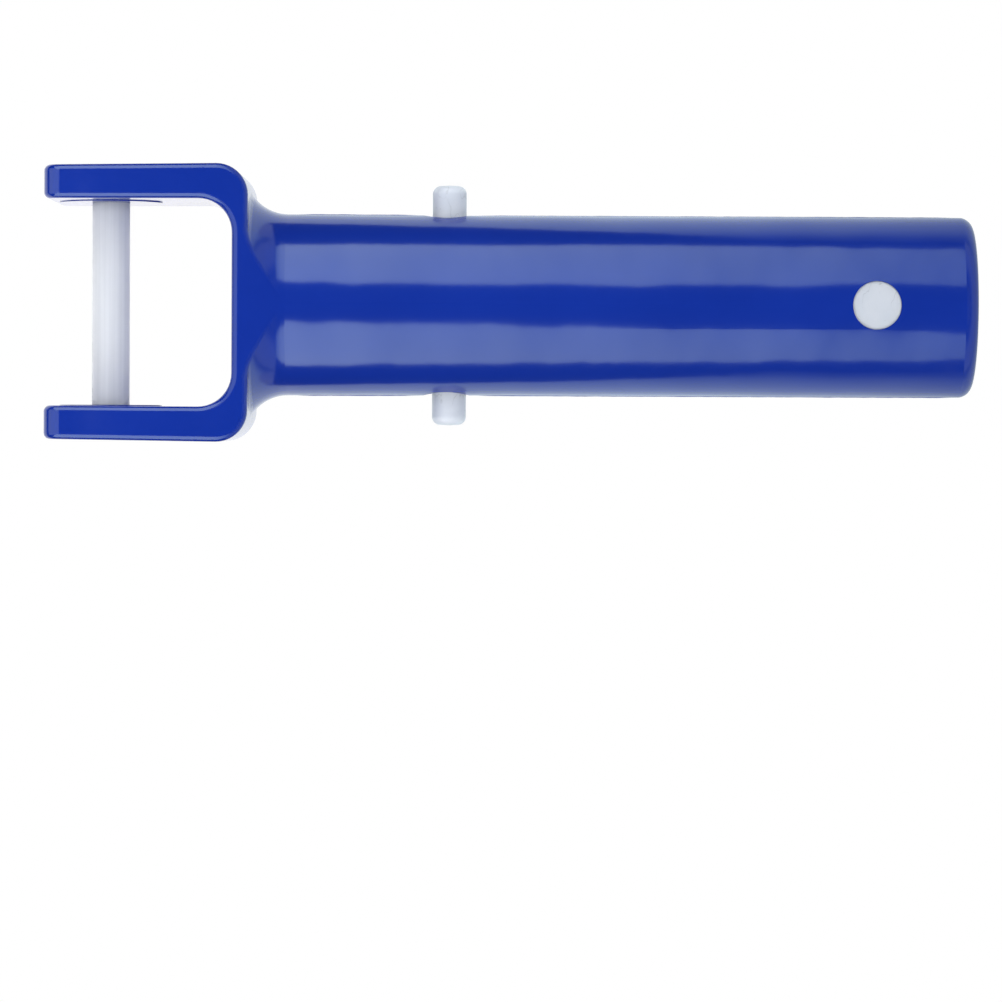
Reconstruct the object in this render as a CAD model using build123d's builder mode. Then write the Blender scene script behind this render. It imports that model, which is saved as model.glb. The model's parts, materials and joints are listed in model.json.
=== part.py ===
"""Swivel handle of a manual pool vacuum head: a moulded fork and tube, its axle, and its locking clip.

Frame: origin at the centre of the axle, +X along the tube to its open end, +Y along the axle, +Z up.
The handle lies flat, with its front face up. All lengths are in millimetres.
"""

import os
from math import atan2, cos, pi, sin, sqrt

from build123d import *

os.makedirs("parts", exist_ok=True)

# ---------------------------------------------------------------- driving dimensions

# tube, which plugs into the end of a telescopic pole
TUBE_R = 14.36  # outer radius of the plain stretch that the pole slides over
TUBE_ROOT_R = 14.46  # outer radius where the tube grows out of the flare
TUBE_PLAIN_X = 59.0  # the plain stretch runs from here to the open end
TUBE_END_X = 137.5
TUBE_BORE_R = 11.2
BORE_FLOOR_X = 24.0
RIM_ROUND = 2.1
RIM_INNER_ROUND = 0.6

# fork
HALF_DEPTH = 14.48  # the front and back faces are this far from the middle plane
TIP_X = -9.55
TIP_OUTER_Y = 21.55
TIP_INNER_Y = 16.25
ROOT_OUTER_Y = 21.95
ROOT_INNER_Y = 16.35
WALL_INNER_X = 20.05
WALL_OUTER_X = 22.6
OUTER_CORNER_R = 5.0
INNER_CORNER_R = 5.3
TIP_ROUND = 2.65  # the arm tips' front and back edges
EDGE_ROUND = 0.95  # every other edge round the front and back faces
CREASE_ROUND = 2.0  # where the flare meets the fork's wall
PAD_R = 8.2  # round pads on the arms' inner faces, about the axle
PAD_PROUD = 0.12

# flare between the fork and the tube: a hollow curve turned about the tube's axis
FLARE_R = 7.0
FLARE_START_X = 21.9
FLARE_END_X = 28.4

# axle through the fork's arms
AXLE_R = 3.0
AXLE_HOLE_R = 3.05
AXLE_HALF_LENGTH = 21.3
AXLE_END_ROUND = 0.5

# cross pin that holds the clip in the tube
CROSS_PIN_X = 121.4
CROSS_PIN_R = 3.8
CROSS_PIN_HOLE_R = 3.82
CROSS_PIN_END_R = 14.2  # its ends are curved like the tube, at this distance from the tube's axis

# locking clip
CLIP_HALF_WIDTH = 4.5
EYE_OUTER_R = 6.6
EYE_BORE_R = 3.85
FLEX_X = 111.5  # each arm bends about the line at FLEX_X, plus or minus FLEX_Y
FLEX_Y = 4.9
FLEX_GAP = 0.25
ROOT_BOSS_R = 3.0
ROOT_FACE_X = 112.0
ROOT_NOTCH_R = 2.0
ARM_HALF_T = 1.4
ARM_TIP_X = 49.5
ARM_TIP_Y = 8.55
LOCK_X = 54.1
LOCK_PIN_R = 2.7
LOCK_PIN_ROOT_R = 3.1
LOCK_PIN_PLAIN_Y = 14.5  # the pin is tapered up to here and plain above
LOCK_PIN_TIP_Y = 19.15
LOCK_PIN_CROWN = 0.15
LOCK_PIN_ROUND = 1.3
LOCK_HOLE_X = 53.6
LOCK_HOLE_R = 3.8

# working margins, which leave no mark on the finished shapes
OVERRUN = 1.0  # cuts and buried ends run this far past the surface they meet
PICK_MARGIN = 0.1  # slack used when edges or corners are picked by where they are
CLIP_CUT_SIZE = 30.0  # larger than the clip's eye in every direction


# ---------------------------------------------------------------- fork, flare and tube, one moulding

with BuildPart() as handle_body:
    # flare, turned about the tube's axis
    flare_centre_r = TUBE_ROOT_R + FLARE_R
    start_angle = pi + atan2(
        sqrt(FLARE_R**2 - (FLARE_END_X - FLARE_START_X) ** 2),
        FLARE_END_X - FLARE_START_X,
    )
    middle_angle = (start_angle + 1.5 * pi) / 2
    flare_start_r = flare_centre_r + FLARE_R * sin(start_angle)
    flare_middle = (
        FLARE_END_X + FLARE_R * cos(middle_angle),
        flare_centre_r + FLARE_R * sin(middle_angle),
    )
    with BuildSketch(Plane.XZ) as flare_profile:
        with BuildLine():
            ThreePointArc((FLARE_START_X, flare_start_r), flare_middle, (FLARE_END_X, TUBE_ROOT_R))
            Polyline(
                (FLARE_END_X, TUBE_ROOT_R),
                (FLARE_END_X, 0),
                (FLARE_START_X, 0),
                (FLARE_START_X, flare_start_r),
            )
        make_face()
    revolve(axis=Axis.X)

    # fork: half of the U from the tube's axis round to the arm's tip, mirrored
    with BuildSketch(Plane.XY) as fork_plan:
        with BuildLine():
            Polyline(
                (WALL_INNER_X, 0),
                (WALL_INNER_X, ROOT_INNER_Y),
                (TIP_X, TIP_INNER_Y),
                (TIP_X, TIP_OUTER_Y),
                (WALL_OUTER_X, ROOT_OUTER_Y),
                (WALL_OUTER_X, 0),
                close=True,
            )
        make_face()
        outer_corner = fork_plan.vertices().group_by(Axis.X)[-1].sort_by(Axis.Y)[-1]
        fillet(outer_corner, OUTER_CORNER_R)
        inner_corners = fork_plan.vertices().filter_by_position(
            Axis.X, WALL_INNER_X - PICK_MARGIN, WALL_INNER_X + PICK_MARGIN
        )
        inner_corner = inner_corners.sort_by(Axis.Y)[-1]
        fillet(inner_corner, INNER_CORNER_R)
        mirror(about=Plane.XZ)
    extrude(amount=HALF_DEPTH, both=True)

    # side outline of the fork, which trims the flare level with its faces and rounds the arm tips
    with BuildSketch(Plane.XZ) as side_outline:
        with Locations(((TIP_X + FLARE_END_X) / 2, 0)):
            Rectangle(FLARE_END_X - TIP_X, 2 * HALF_DEPTH)
        fillet(side_outline.vertices().group_by(Axis.X)[0], TIP_ROUND)
    extrude(amount=ROOT_OUTER_Y + OVERRUN, both=True, mode=Mode.INTERSECT)

    # the crease where the flare meets the fork's wall is smoothed away
    flare_edges = handle_body.faces().filter_by(GeomType.TORUS).edges()
    crease = flare_edges.filter_by(lambda edge: edge.bounding_box().max.X < WALL_OUTER_X + PICK_MARGIN)
    fillet(crease, CREASE_ROUND)

    # soft edge all round both faces and both arm tips, but not where a tip's round already meets the face
    face_edges = ShapeList()
    for face in handle_body.faces().filter_by(Plane.XY):
        face_edges += face.edges()
    soft_edges = face_edges.filter_by(lambda edge: edge.center().X > TIP_X + TIP_ROUND + PICK_MARGIN)
    fillet(soft_edges, EDGE_ROUND)

    # tube: a slight taper out of the flare, then plain to the open end, with a rounded rim
    with BuildSketch(Plane.XZ) as tube_profile:
        with BuildLine():
            Polyline(
                (BORE_FLOOR_X, 0),
                (BORE_FLOOR_X, TUBE_BORE_R),
                (FLARE_END_X, TUBE_BORE_R),
                (FLARE_END_X, TUBE_ROOT_R),
                (TUBE_PLAIN_X, TUBE_R),
                (TUBE_END_X, TUBE_R),
                (TUBE_END_X, 0),
                close=True,
            )
        make_face()
        fillet(tube_profile.vertices().group_by(Axis.X)[-1].sort_by(Axis.Y)[-1], RIM_ROUND)
    revolve(axis=Axis.X)
    with BuildSketch(Plane.YZ.offset(BORE_FLOOR_X)):
        Circle(TUBE_BORE_R)
    extrude(amount=TUBE_END_X - BORE_FLOOR_X, mode=Mode.SUBTRACT)
    bore_rim = handle_body.edges().filter_by(GeomType.CIRCLE).group_by(Axis.X)[-1].sort_by(SortBy.RADIUS)[0]
    fillet(bore_rim, RIM_INNER_ROUND)

    # round pads about the axle
    for side in (1, -1):
        pad_plane = Plane((0, side * (TIP_INNER_Y - PAD_PROUD), 0), x_dir=(1, 0, 0), z_dir=(0, side, 0))
        with BuildSketch(pad_plane):
            Circle(PAD_R)
        extrude(amount=PAD_PROUD + OVERRUN)

    # axle holes through both arms
    with BuildSketch(Plane.XZ):
        Circle(AXLE_HOLE_R)
    extrude(amount=ROOT_OUTER_Y + OVERRUN, both=True, mode=Mode.SUBTRACT)

    # lock pin holes through the tube's sides
    with BuildSketch(Plane.XZ):
        with Locations((LOCK_HOLE_X, 0)):
            Circle(LOCK_HOLE_R)
    extrude(amount=TUBE_ROOT_R + OVERRUN, both=True, mode=Mode.SUBTRACT)

    # cross pin hole through the tube's front and back
    with BuildSketch(Plane.XY):
        with Locations((CROSS_PIN_X, 0)):
            Circle(CROSS_PIN_HOLE_R)
    extrude(amount=TUBE_ROOT_R + OVERRUN, both=True, mode=Mode.SUBTRACT)

handle_body.part.label = "handle_body"
export_step(handle_body.part, "parts/handle_body.step")


# ---------------------------------------------------------------- axle

with BuildPart() as axle_pin:
    with BuildSketch(Plane.XZ):
        Circle(AXLE_R)
    extrude(amount=AXLE_HALF_LENGTH, both=True)
    fillet(axle_pin.edges().filter_by(GeomType.CIRCLE), AXLE_END_ROUND)

axle_pin.part.label = "axle_pin"
export_step(axle_pin.part, "parts/axle_pin.step")


# ---------------------------------------------------------------- cross pin

with BuildPart() as cross_pin:
    with BuildSketch(Plane.XY):
        with Locations((CROSS_PIN_X, 0)):
            Circle(CROSS_PIN_R)
    extrude(amount=TUBE_R, both=True)
    with BuildSketch(Plane.YZ.offset(CROSS_PIN_X - CROSS_PIN_R - OVERRUN)):
        Circle(CROSS_PIN_END_R)
    extrude(amount=2 * (CROSS_PIN_R + OVERRUN), mode=Mode.INTERSECT)

cross_pin.part.label = "cross_pin"
export_step(cross_pin.part, "parts/cross_pin.step")


# ---------------------------------------------------------------- locking clip, one moulding in three nodes

with BuildPart() as clip_eye:
    with BuildSketch(Plane.XY) as eye_plan:
        with Locations((CROSS_PIN_X, 0)):
            Circle(EYE_OUTER_R)
        with Locations((FLEX_X + ROOT_BOSS_R, FLEX_Y), (FLEX_X + ROOT_BOSS_R, -FLEX_Y)):
            Circle(ROOT_BOSS_R)
        make_hull()
        with Locations((ROOT_FACE_X, 0)):
            Rectangle(CLIP_CUT_SIZE, CLIP_CUT_SIZE, align=(Align.MAX, Align.CENTER), mode=Mode.SUBTRACT)
            Circle(ROOT_NOTCH_R, mode=Mode.SUBTRACT)
        with Locations((FLEX_X, FLEX_Y), (FLEX_X, -FLEX_Y)):
            Circle(ARM_HALF_T + FLEX_GAP, mode=Mode.SUBTRACT)
        with Locations((CROSS_PIN_X, 0)):
            Circle(EYE_BORE_R, mode=Mode.SUBTRACT)
    extrude(amount=CLIP_HALF_WIDTH, both=True)

clip_eye.part.label = "clip_eye"
export_step(clip_eye.part, "parts/clip_eye.step")

with BuildPart() as upper_clip_arm:
    with BuildSketch(Plane.XY) as arm_plan:
        with Locations((FLEX_X, FLEX_Y), (ARM_TIP_X, ARM_TIP_Y)):
            Circle(ARM_HALF_T)
        make_hull()
    extrude(amount=CLIP_HALF_WIDTH, both=True)
    # lock pin, turned about a line along Y
    with BuildSketch(Plane.XY) as pin_profile:
        with BuildLine():
            Polyline(
                (LOCK_X, ARM_TIP_Y - ARM_HALF_T / 2),
                (LOCK_X + LOCK_PIN_ROOT_R, ARM_TIP_Y - ARM_HALF_T / 2),
                (LOCK_X + LOCK_PIN_ROOT_R, ARM_TIP_Y + ARM_HALF_T),
                (LOCK_X + LOCK_PIN_R, LOCK_PIN_PLAIN_Y),
                (LOCK_X + LOCK_PIN_R, LOCK_PIN_TIP_Y - LOCK_PIN_CROWN),
                (LOCK_X, LOCK_PIN_TIP_Y),
                close=True,
            )
        make_face()
        pin_shoulder = pin_profile.vertices().group_by(Axis.Y)[-2]
        fillet(pin_shoulder, LOCK_PIN_ROUND)
    revolve(axis=Axis((LOCK_X, 0, 0), (0, 1, 0)))

upper_clip_arm.part.label = "upper_clip_arm"
export_step(upper_clip_arm.part, "parts/upper_clip_arm.step")

with BuildPart() as lower_clip_arm:
    mirror(upper_clip_arm.part, about=Plane.XZ)

lower_clip_arm.part.label = "lower_clip_arm"
export_step(lower_clip_arm.part, "parts/lower_clip_arm.step")
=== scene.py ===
import json
import random
from math import cos, radians, sin

import bpy
from mathutils import Matrix, Vector


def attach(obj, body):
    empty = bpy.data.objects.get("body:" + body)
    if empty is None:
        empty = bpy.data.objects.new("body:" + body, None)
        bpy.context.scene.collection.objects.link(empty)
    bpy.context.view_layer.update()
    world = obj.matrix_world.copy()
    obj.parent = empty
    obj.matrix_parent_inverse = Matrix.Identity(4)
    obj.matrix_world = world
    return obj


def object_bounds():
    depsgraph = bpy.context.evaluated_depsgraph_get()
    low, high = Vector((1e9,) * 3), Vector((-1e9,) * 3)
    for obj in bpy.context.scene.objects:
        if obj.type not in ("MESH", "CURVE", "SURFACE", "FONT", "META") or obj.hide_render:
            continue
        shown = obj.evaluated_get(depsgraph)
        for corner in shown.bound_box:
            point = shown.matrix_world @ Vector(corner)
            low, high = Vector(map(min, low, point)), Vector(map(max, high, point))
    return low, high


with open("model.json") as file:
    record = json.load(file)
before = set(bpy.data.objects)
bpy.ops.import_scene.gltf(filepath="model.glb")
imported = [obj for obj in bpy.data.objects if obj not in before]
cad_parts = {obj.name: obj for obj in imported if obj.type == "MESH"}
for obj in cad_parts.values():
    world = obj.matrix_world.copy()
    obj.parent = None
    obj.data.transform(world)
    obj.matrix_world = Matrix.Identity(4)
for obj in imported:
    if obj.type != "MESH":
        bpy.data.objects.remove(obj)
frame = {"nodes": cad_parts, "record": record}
cad_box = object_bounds()

MM = 0.001
low, high = cad_box
FLOOR_Z = low.z
HANDLE_MIDDLE_X = (low.x + high.x) / 2

mounts = {mount["name"]: mount for mount in frame["record"]["mounts"]}
TUBE_R = mounts["pole_spigot"]["dims"]["r_mm"] * MM
SPIGOT_START_X = high.x - mounts["pole_spigot"]["dims"]["length_mm"] * MM
LOCK_X = mounts["upper_lock_pin"]["pos_m"][0]


# ---------------------------------------------------------------- node helpers


def add_node(owner, kind, settings=None, **inputs):
    """Adds one node to a material or world, sets its properties, and fills its inputs by name."""
    node = owner.node_tree.nodes.new(kind)
    for key, value in (settings or {}).items():
        setattr(node, key, value)
    for key, value in inputs.items():
        wire(owner, node, key.replace("_", " "), value)
    return node


def wire(owner, node, socket_name, value):
    """Links an output into the named input, or writes a plain value there."""
    socket = node.inputs[socket_name]
    if isinstance(value, bpy.types.NodeSocket):
        owner.node_tree.links.new(value, socket)
    else:
        socket.default_value = value


def calculate(owner, operation, *values):
    """A math node on one or two linked values."""
    node = add_node(owner, "ShaderNodeMath", {"operation": operation})
    for value, socket in zip(values, node.inputs):
        owner.node_tree.links.new(value, socket)
    return node.outputs[0]


def ramp(material, factor, stops):
    """A colour ramp through (position, colour) stops."""
    node = add_node(material, "ShaderNodeValToRGB", Fac=factor)
    elements = node.color_ramp.elements
    while len(elements) < len(stops):
        elements.new(0.5)
    for element, (position, colour) in zip(elements, stops):
        element.position = position
        element.color = (*colour, 1)
    return node.outputs["Color"]


def noise(material, cells, detail, roughness=0.5):
    """Noise fixed to the object, with this many cells per metre along its X, Y and Z."""
    place = add_node(material, "ShaderNodeTexCoord").outputs["Object"]
    stretched = add_node(material, "ShaderNodeMapping", Vector=place, Scale=cells).outputs[0]
    return add_node(
        material, "ShaderNodeTexNoise", Vector=stretched, Scale=1.0, Detail=detail, Roughness=roughness
    ).outputs[0]


def object_axis(material, axis):
    """One of the object's own coordinates, 0, 1 or 2, in metres."""
    place = add_node(material, "ShaderNodeTexCoord").outputs["Object"]
    return add_node(material, "ShaderNodeSeparateXYZ", Vector=place).outputs[axis]


def to_range(material, value, low_out, high_out, low_in=0.0, high_in=1.0):
    """Maps a value from one range to another, and holds it at the ends."""
    node = add_node(material, "ShaderNodeMapRange", Value=value)
    node.inputs["From Min"].default_value = low_in
    node.inputs["From Max"].default_value = high_in
    node.inputs["To Min"].default_value = low_out
    node.inputs["To Max"].default_value = high_out
    return node.outputs[0]


def bump(material, height, distance, below=None):
    """A bump of this distance, on top of the bump below it."""
    node = add_node(material, "ShaderNodeBump", Height=height, Distance=distance)
    if below:
        wire(material, node, "Normal", below)
    return node.outputs[0]


# ---------------------------------------------------------------- plastics

BLUE_SHADES = [(0.3, (0.0032, 0.0196, 0.224)), (0.7, (0.0038, 0.0218, 0.242))]
BLUE_SHEEN = (0.80, 1.0, 1.0, 1)
BLUE_IOR = 1.58
SWELL_HEIGHT = 0.34 * MM
RIPPLE_HEIGHT = 0.05 * MM
GRAIN_HEIGHT = 0.002 * MM

AXLE_SHADES = [(0.3, (0.525, 0.54, 0.575)), (0.7, (0.575, 0.59, 0.625))]
AXLE_LINE_HEIGHT = 0.012 * MM

WHITE_SHADES = [(0.3, (0.56, 0.60, 0.67)), (0.7, (0.62, 0.65, 0.71))]
SCUFF_SHADE = (0.36, 0.38, 0.43)
DENT_HEIGHT = 0.02 * MM
# painted light and shade: one white plastic, made lighter on the clip and darker on the cross pin to
# stand in for how lit each part is
CLIP_PAINTED_LIGHT_BRIGHTNESS = 0.91
CROSS_PIN_PAINTED_SHADE_BRIGHTNESS = 0.82

# a colour mix node's first and second colour inputs, and its colour output
MIX_FIRST, MIX_SECOND, MIX_RESULT = 6, 7, 2


def new_plastic(name):
    """An empty node material with a principled shader wired to its output."""
    material = bpy.data.materials.new(name)
    material.use_nodes = True
    nodes = material.node_tree.nodes
    nodes.clear()
    output = nodes.new("ShaderNodeOutputMaterial")
    shader = nodes.new("ShaderNodeBsdfPrincipled")
    material.node_tree.links.new(shader.outputs[0], output.inputs[0])
    return material, shader


def make_translucent(shader, weight, depth):
    """Lets light soak this far, in metres, into a pale plastic."""
    shader.inputs["Subsurface Weight"].default_value = weight
    shader.inputs["Subsurface Radius"].default_value = (1.0, 1.0, 1.0)
    shader.inputs["Subsurface Scale"].default_value = depth


def blue_plastic():
    """Glossy blue moulding, with the faint long waves and clouding of a thick moulded wall."""
    material, shader = new_plastic("blue_moulded_plastic")
    swells = noise(material, (75, 60, 60), 1.0, 0.4)
    ripples = noise(material, (190, 120, 120), 1.0)
    grain = noise(material, (900, 1600, 1600), 2.0)
    cloud = noise(material, (60, 90, 90), 3.0)
    wire(material, shader, "Base Color", ramp(material, cloud, BLUE_SHADES))
    wire(material, shader, "Roughness", to_range(material, grain, 0.12, 0.19))
    waves = bump(material, swells, SWELL_HEIGHT)
    waves = bump(material, ripples, RIPPLE_HEIGHT, waves)
    wire(material, shader, "Normal", bump(material, grain, GRAIN_HEIGHT, waves))
    shader.inputs["Specular Tint"].default_value = BLUE_SHEEN
    shader.inputs["IOR"].default_value = BLUE_IOR
    return material


def axle_plastic():
    """Satin white rod with fine lines along its length."""
    material, shader = new_plastic("axle_plastic")
    lines = noise(material, (2600, 30, 2600), 2.0)
    cloud = noise(material, (90, 60, 90), 2.0)
    wire(material, shader, "Base Color", ramp(material, lines, AXLE_SHADES))
    wire(material, shader, "Roughness", to_range(material, cloud, 0.4, 0.55))
    wire(material, shader, "Normal", bump(material, lines, AXLE_LINE_HEIGHT))
    make_translucent(shader, 1.0, 8.0 * MM)
    return material


def scuffs(material):
    """How marked the surface is, from 0 to 1: a few dots, and hairline scratches in patches."""
    dots_noise = noise(material, (700, 1400, 900), 4.0, 0.6)
    lines_noise = noise(material, (420, 190, 300), 2.0)
    patches_noise = noise(material, (260, 260, 260), 0.0)
    clear, mark = (0.0, 0.0, 0.0), (1.0, 1.0, 1.0)
    hairlines = ramp(material, lines_noise, [(0.488, clear), (0.5, mark), (0.512, clear)])
    patches = to_range(material, patches_noise, 0.0, 0.55, 0.52, 0.62)
    faint_lines = calculate(material, "MULTIPLY", hairlines, patches)
    dots = to_range(material, dots_noise, 0.0, 0.6, 0.66, 0.72)
    return calculate(material, "MAXIMUM", faint_lines, dots)


def white_plastic(name, painted_light_brightness):
    """Slightly translucent white moulding with a few small scuffs and hairline scratches. Its colour is
    scaled by a brightness that paints in how much light falls on this part.
    """
    material, shader = new_plastic(name)
    cloud = noise(material, (300, 300, 300), 3.0)
    shades = [(place, tuple(painted_light_brightness * part for part in shade)) for place, shade in WHITE_SHADES]
    mix = add_node(material, "ShaderNodeMix", {"data_type": "RGBA"}, Factor=scuffs(material))
    material.node_tree.links.new(ramp(material, cloud, shades), mix.inputs[MIX_FIRST])
    mix.inputs[MIX_SECOND].default_value = (*(painted_light_brightness * part for part in SCUFF_SHADE), 1)
    wire(material, shader, "Base Color", mix.outputs[MIX_RESULT])
    wire(material, shader, "Roughness", to_range(material, cloud, 0.32, 0.45))
    wire(material, shader, "Normal", bump(material, cloud, DENT_HEIGHT))
    make_translucent(shader, 0.7, 2.0 * MM)
    return material


def dress(node_name, material):
    """Puts one material on a CAD node."""
    materials = frame["nodes"][node_name].data.materials
    materials.clear()
    materials.append(material)


blue = blue_plastic()
# two copies of one white plastic, lighter on the clip and darker on the cross pin: painted light and
# shade
clip_white = white_plastic("white_clip_plastic", CLIP_PAINTED_LIGHT_BRIGHTNESS)
dress("handle_body", blue)
dress("axle_pin", axle_plastic())
dress("cross_pin", white_plastic("white_pin_plastic", CROSS_PIN_PAINTED_SHADE_BRIGHTNESS))
for name in ("clip_eye", "upper_clip_arm", "lower_clip_arm"):
    dress(name, clip_white)


# ---------------------------------------------------------------- meshes


def flat_mesh(name, corners, faces, material):
    """A mesh object made of flat faces, in the scene and in one material."""
    mesh = bpy.data.meshes.new(name)
    mesh.from_pydata(corners, [], faces)
    mesh.materials.append(material)
    item = bpy.data.objects.new(name, mesh)
    bpy.context.scene.collection.objects.link(item)
    return item


def band_mesh(name, stations, material):
    """A band of four-cornered faces through stations, each a pair of points across the band."""
    corners = [point for station in stations for point in station]
    faces = [(2 * i, 2 * i + 1, 2 * i + 3, 2 * i + 2) for i in range(len(stations) - 1)]
    return flat_mesh(name, corners, faces, material)


# ---------------------------------------------------------------- mould seams

# a fine ridge of flash along each side of the tube, where the two halves of the mould met
SEAM_ROOT_X = 30.0 * MM
SEAM_ROOT_GROWTH = 0.0033  # the tube's radius grows by this much per length towards the flare
SEAM_END_X = high.x - 3.0 * MM
SEAM_HALF_WIDTH = 0.16 * MM
SEAM_HEIGHT = 0.07 * MM
SEAM_BURIED = 0.25 * MM
SEAM_HEIGHT_RANGE = (0.3, 1.5)
SEAM_SMOOTHING = 0.75
SEAM_STEP = 0.4 * MM
SEAM_TAPER_STEPS = 6
SHOULDER_SINK = 0.01 * MM
SHOULDER_HEIGHT = 0.5
SHOULDER_WIDTH = 0.6
HOLE_CLEARANCE = 4.6 * MM
PROFILE_SIZE = 5


def seam(name, side, start, end, seed):
    """A closed, slightly uneven ridge along the tube's side between two places on X."""
    dice = random.Random(seed)
    count = int((end - start) / SEAM_STEP)
    corners = []
    height = 1.0
    for i in range(count + 1):
        x = start + (end - start) * i / count
        radius = TUBE_R + max(0.0, SPIGOT_START_X - x) * SEAM_ROOT_GROWTH
        height = SEAM_SMOOTHING * height + (1 - SEAM_SMOOTHING) * dice.uniform(*SEAM_HEIGHT_RANGE)
        taper = min(1.0, i / SEAM_TAPER_STEPS, (count - i) / SEAM_TAPER_STEPS)
        rise = SEAM_HEIGHT * height * taper
        shoulder = radius - SHOULDER_SINK + rise * SHOULDER_HEIGHT
        buried = radius - SEAM_BURIED
        for out, z in (
            (buried, -SEAM_HALF_WIDTH),
            (shoulder, -SEAM_HALF_WIDTH * SHOULDER_WIDTH),
            (radius + rise, 0.0),
            (shoulder, SEAM_HALF_WIDTH * SHOULDER_WIDTH),
            (buried, SEAM_HALF_WIDTH),
        ):
            corners.append((x, side * out, z))
    last = count * PROFILE_SIZE
    faces = [tuple(range(PROFILE_SIZE)), tuple(reversed(range(last, last + PROFILE_SIZE)))]
    for i in range(count):
        for j in range(PROFILE_SIZE):
            k = (j + 1) % PROFILE_SIZE
            a, b = i * PROFILE_SIZE, (i + 1) * PROFILE_SIZE
            faces.append((a + k, a + j, b + j, b + k))
    if side < 0:
        faces = [tuple(reversed(face)) for face in faces]
    piece = flat_mesh(name, corners, faces, blue)
    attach(piece, "handle")


for side_name, side, seed in (("upper", 1, 11), ("lower", -1, 23)):
    seam(f"seam_{side_name}_root", side, SEAM_ROOT_X, LOCK_X - HOLE_CLEARANCE, seed)
    seam(f"seam_{side_name}_tube", side, LOCK_X + HOLE_CLEARANCE, SEAM_END_X, seed + 1)


# ---------------------------------------------------------------- floor

WHITE = (1, 1, 1, 1)
FLOOR_HALF = 4.0
PAPER_DROP = 0.4 * MM
BOUNCE_DROP = 0.2 * MM


def glow(name, strength=1.0):
    """A material that only gives light. Returns it and its emission node."""
    material = bpy.data.materials.new(name)
    material.use_nodes = True
    nodes = material.node_tree.nodes
    nodes.clear()
    output = nodes.new("ShaderNodeOutputMaterial")
    emit = nodes.new("ShaderNodeEmission")
    emit.inputs["Color"].default_value = WHITE
    emit.inputs["Strength"].default_value = strength
    material.node_tree.links.new(emit.outputs[0], output.inputs[0])
    return material, emit


# the floor itself: plain white paper under flat light
floor_z = FLOOR_Z - PAPER_DROP
floor = band_mesh(
    "floor",
    [((x, -FLOOR_HALF, floor_z), (x, FLOOR_HALF, floor_z)) for x in (-FLOOR_HALF, FLOOR_HALF)],
    glow("white_paper")[0],
)
floor.visible_diffuse = floor.visible_glossy = floor.visible_shadow = False

# the bright part of the floor that the handle's gloss picks up: narrow beside the flare, wide
# beyond it. Each row is X and the half width there.
GLOW_EDGE = (
    (-0.14, 0.080),
    (0.000, 0.052),
    (0.028, 0.041),
    (0.047, 0.048),
    (0.066, 0.057),
    (0.085, 0.082),
    (0.103, 0.140),
    (0.120, 0.350),
    (0.300, 0.500),
)
# its colour along the handle, as parts of a length from X = 0
BOUNCE_LENGTH = 0.2
BOUNCE_ALONG = [
    (0.08, (1.00, 0.99, 0.97)),
    (0.15, (0.66, 0.72, 0.72)),
    (0.42, (0.70, 0.80, 0.82)),
    (0.75, (0.405, 0.46, 0.47)),
]
# its strength, which falls off sideways
BOUNCE_STRENGTH = 1.4
BOUNCE_SIDE_STRENGTH = 0.5
BOUNCE_FADE_START_Y = 0.05
BOUNCE_FADE_END_Y = 0.15

bounce_material, bounce_emit = glow("floor_bounce")
along = to_range(bounce_material, object_axis(bounce_material, 0), 0.0, 1.0, 0.0, BOUNCE_LENGTH)
wire(bounce_material, bounce_emit, "Color", ramp(bounce_material, along, BOUNCE_ALONG))
sideways = calculate(bounce_material, "ABSOLUTE", object_axis(bounce_material, 1))
bounce_fade = to_range(
    bounce_material,
    sideways,
    BOUNCE_STRENGTH,
    BOUNCE_SIDE_STRENGTH,
    BOUNCE_FADE_START_Y,
    BOUNCE_FADE_END_Y,
)
wire(bounce_material, bounce_emit, "Strength", bounce_fade)
bounce_z = FLOOR_Z - BOUNCE_DROP
bounce = band_mesh(
    "floor_bounce",
    [((x, -half, bounce_z), (x, half, bounce_z)) for x, half in GLOW_EDGE],
    bounce_material,
)
bounce.visible_camera = False


# ---------------------------------------------------------------- lights

SOFTBOX_DISTANCE = 0.6
SOFTBOX_STRENGTH = 3.1
SOFTBOX_START_X = -0.02
SOFTBOX_END_X = 0.25
SOFTBOX_FADE = [(0.0, (0.98, 1.0, 1.02)), (0.78, (0.43, 0.48, 0.48)), (1.0, (0.0, 0.0, 0.0))]
# each edge row is X, then the angles from straight up of the softbox's inner and outer edges
SOFTBOX_UPPER_EDGES = [(-0.40, 25.2, 82.0), (0.00, 25.5, 82.0), (0.10, 26.0, 83.0), (0.25, 29.0, 77.0)]
SOFTBOX_LOWER_EDGES = [(-0.40, 19.5, 84.5), (0.00, 21.7, 83.5), (0.10, 30.0, 77.0), (0.25, 39.5, 68.0)]

DOME_DISTANCE = 0.75
DOME_HALF_TURN = 76
DOME_TILTS = (42, 60, 80, 100, 120)
DOME_STRENGTH = 0.62
DOME_STEPS = 12

WORLD_SEEN = 1.0
WORLD_LIGHTING = 0.12
WORLD_REFLECTED = 0.04


def place_light(item):
    """Hides a light's shape from the camera."""
    item.visible_camera = False


def softbox(name, side, edges):
    """A long softbox beside the handle. It is brightest over the fork and fades towards the
    tube's open end."""
    inner_mid = sum(row[1] for row in edges) / len(edges)
    outer_mid = sum(row[2] for row in edges) / len(edges)
    middle = (inner_mid + outer_mid) / 2
    stations = []
    for x, inner, outer in edges:
        points = []
        for angle in (inner, outer):
            reach = SOFTBOX_DISTANCE / cos(radians(angle - middle))
            points.append((x, side * reach * sin(radians(angle)), reach * cos(radians(angle))))
        stations.append(points)
    material, emit = glow(name, SOFTBOX_STRENGTH)
    along = to_range(material, object_axis(material, 0), 0.0, 1.0, SOFTBOX_START_X, SOFTBOX_END_X)
    wire(material, emit, "Color", ramp(material, along, SOFTBOX_FADE))
    place_light(band_mesh(name, stations, material))


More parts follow.
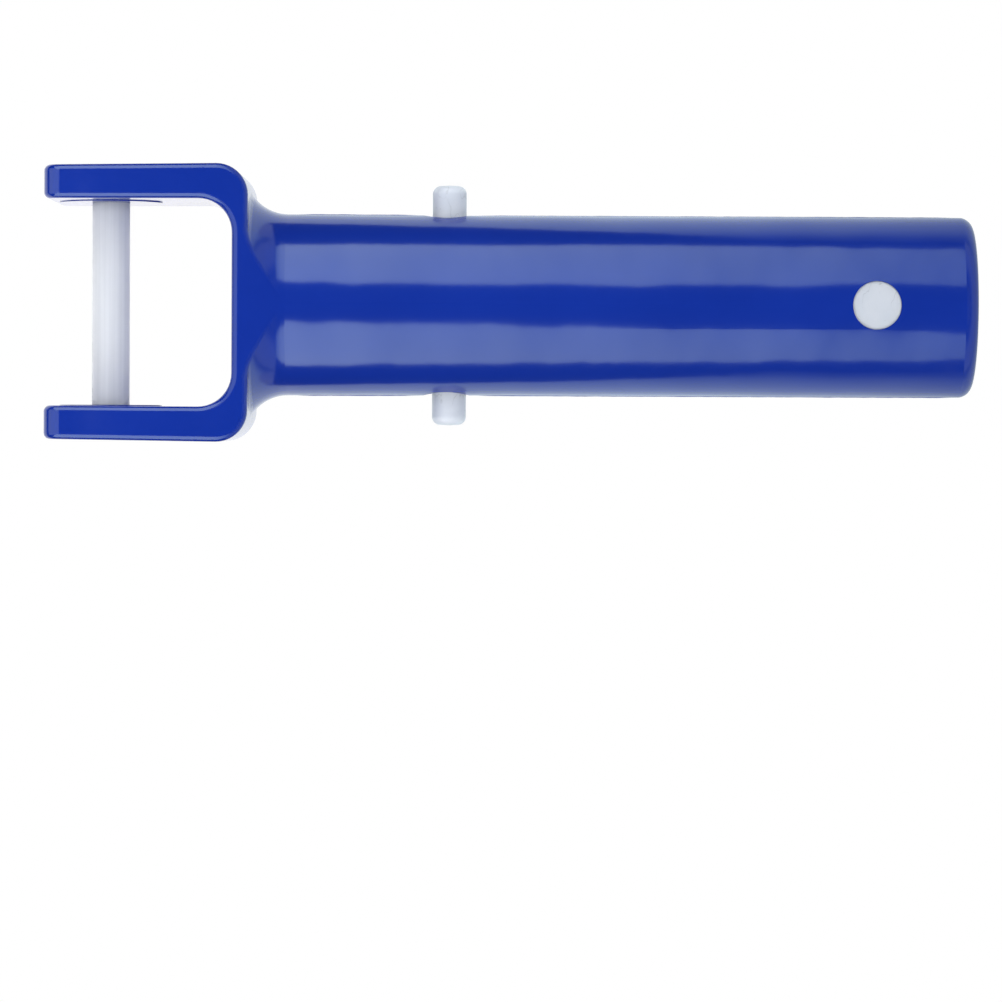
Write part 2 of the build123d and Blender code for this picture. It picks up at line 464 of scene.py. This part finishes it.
def fill_panel(name, side, inner, outer, half_width, strength, distance):
    """A square of light beyond one end of the handle, between two angles from straight up."""
    middle = (inner + outer) / 2
    stations = []
    for angle in (inner, outer):
        reach = distance / cos(radians(angle - middle))
        x = HANDLE_MIDDLE_X + side * reach * sin(radians(angle))
        z = reach * cos(radians(angle))
        stations.append(((x, -half_width, z), (x, half_width, z)))
    item = band_mesh(name, stations, glow(name, strength)[0])
    place_light(item)
    return item


def fill_dome(name):
    """Part of a dome of faint light beyond the tube's open end. Its rows are at DOME_TILTS degrees
    from straight up, and its top edge fades away."""
    rows = []
    for tilt in DOME_TILTS:
        level = DOME_DISTANCE * sin(radians(tilt))
        height = DOME_DISTANCE * cos(radians(tilt))
        turns = [radians(DOME_HALF_TURN * (2 * step / DOME_STEPS - 1)) for step in range(DOME_STEPS + 1)]
        rows.append([(HANDLE_MIDDLE_X + level * cos(turn), level * sin(turn), height) for turn in turns])
    corners = [point for row in rows for point in row]
    across = DOME_STEPS + 1
    faces = [
        (i * across + j, i * across + j + 1, (i + 1) * across + j + 1, (i + 1) * across + j)
        for i in range(len(rows) - 1)
        for j in range(DOME_STEPS)
    ]
    top = DOME_DISTANCE * cos(radians(DOME_TILTS[0]))
    full = DOME_DISTANCE * cos(radians(DOME_TILTS[1]))
    material, emit = glow(name)
    strength = to_range(material, object_axis(material, 2), 0.0, DOME_STRENGTH, top, full)
    wire(material, emit, "Strength", strength)
    place_light(flat_mesh(name, corners, faces, material))


softbox("softbox_upper", 1, SOFTBOX_UPPER_EDGES)
softbox("softbox_lower", -1, SOFTBOX_LOWER_EDGES)
fill_panel("fill_left", -1, inner=16, outer=82, half_width=0.30, strength=1.25, distance=0.6)
soft_fill = fill_panel(
    "fill_right_soft", 1, inner=20, outer=60, half_width=2.00, strength=4.8, distance=1.5
)
soft_fill.visible_glossy = False
fill_dome("fill_right")

# the world is white to the camera, faint to the handle's matt shading, and nearly dark to its gloss
world = bpy.data.worlds.new("studio")
world.use_nodes = True
bpy.context.scene.world = world
world.node_tree.nodes.clear()


def background(grey):
    """A plain world background. Returns its shader output."""
    return add_node(world, "ShaderNodeBackground", Color=(grey, grey, grey, 1)).outputs[0]


def choose(is_ray, otherwise, chosen):
    """The chosen shader for one kind of ray, and the other shader for the rest."""
    mix = add_node(world, "ShaderNodeMixShader", Fac=is_ray)
    world.node_tree.links.new(otherwise, mix.inputs[1])
    world.node_tree.links.new(chosen, mix.inputs[2])
    return mix.outputs[0]


rays = add_node(world, "ShaderNodeLightPath").outputs
unseen = choose(rays["Is Diffuse Ray"], background(WORLD_REFLECTED), background(WORLD_LIGHTING))
world_shader = choose(rays["Is Camera Ray"], unseen, background(WORLD_SEEN))
add_node(world, "ShaderNodeOutputWorld", Surface=world_shader)
bpy.context.scene.view_settings.view_transform = "Standard"


# ---------------------------------------------------------------- camera

CAMERA_PLACE = (0.06314, -0.01809, 0.736)
CAMERA_AIM = (-0.00087, -0.01783, -1)
CAMERA_ROLL = radians(0.26)
CAMERA_NEAR = 0.01
CAMERA_FAR = 50
SENSOR_WIDTH = 36
FOCAL_IN_WIDTHS = 4.5908  # focal length over the sensor's width

camera_data = bpy.data.cameras.new("camera")
camera_data.sensor_width = SENSOR_WIDTH
camera_data.lens = SENSOR_WIDTH * FOCAL_IN_WIDTHS
camera_data.clip_start = CAMERA_NEAR
camera_data.clip_end = CAMERA_FAR
camera = bpy.data.objects.new("camera", camera_data)
bpy.context.scene.collection.objects.link(camera)
camera.location = CAMERA_PLACE
aim = Vector(CAMERA_AIM).normalized()
level_right = aim.cross(Vector((0, 1, 0))).normalized()
level_up = level_right.cross(aim)
right = level_right * cos(CAMERA_ROLL) + level_up * sin(CAMERA_ROLL)
up = right.cross(aim)
camera.rotation_mode = "QUATERNION"
camera.rotation_quaternion = Matrix((right, up, -aim)).transposed().to_quaternion()
bpy.context.scene.camera = camera
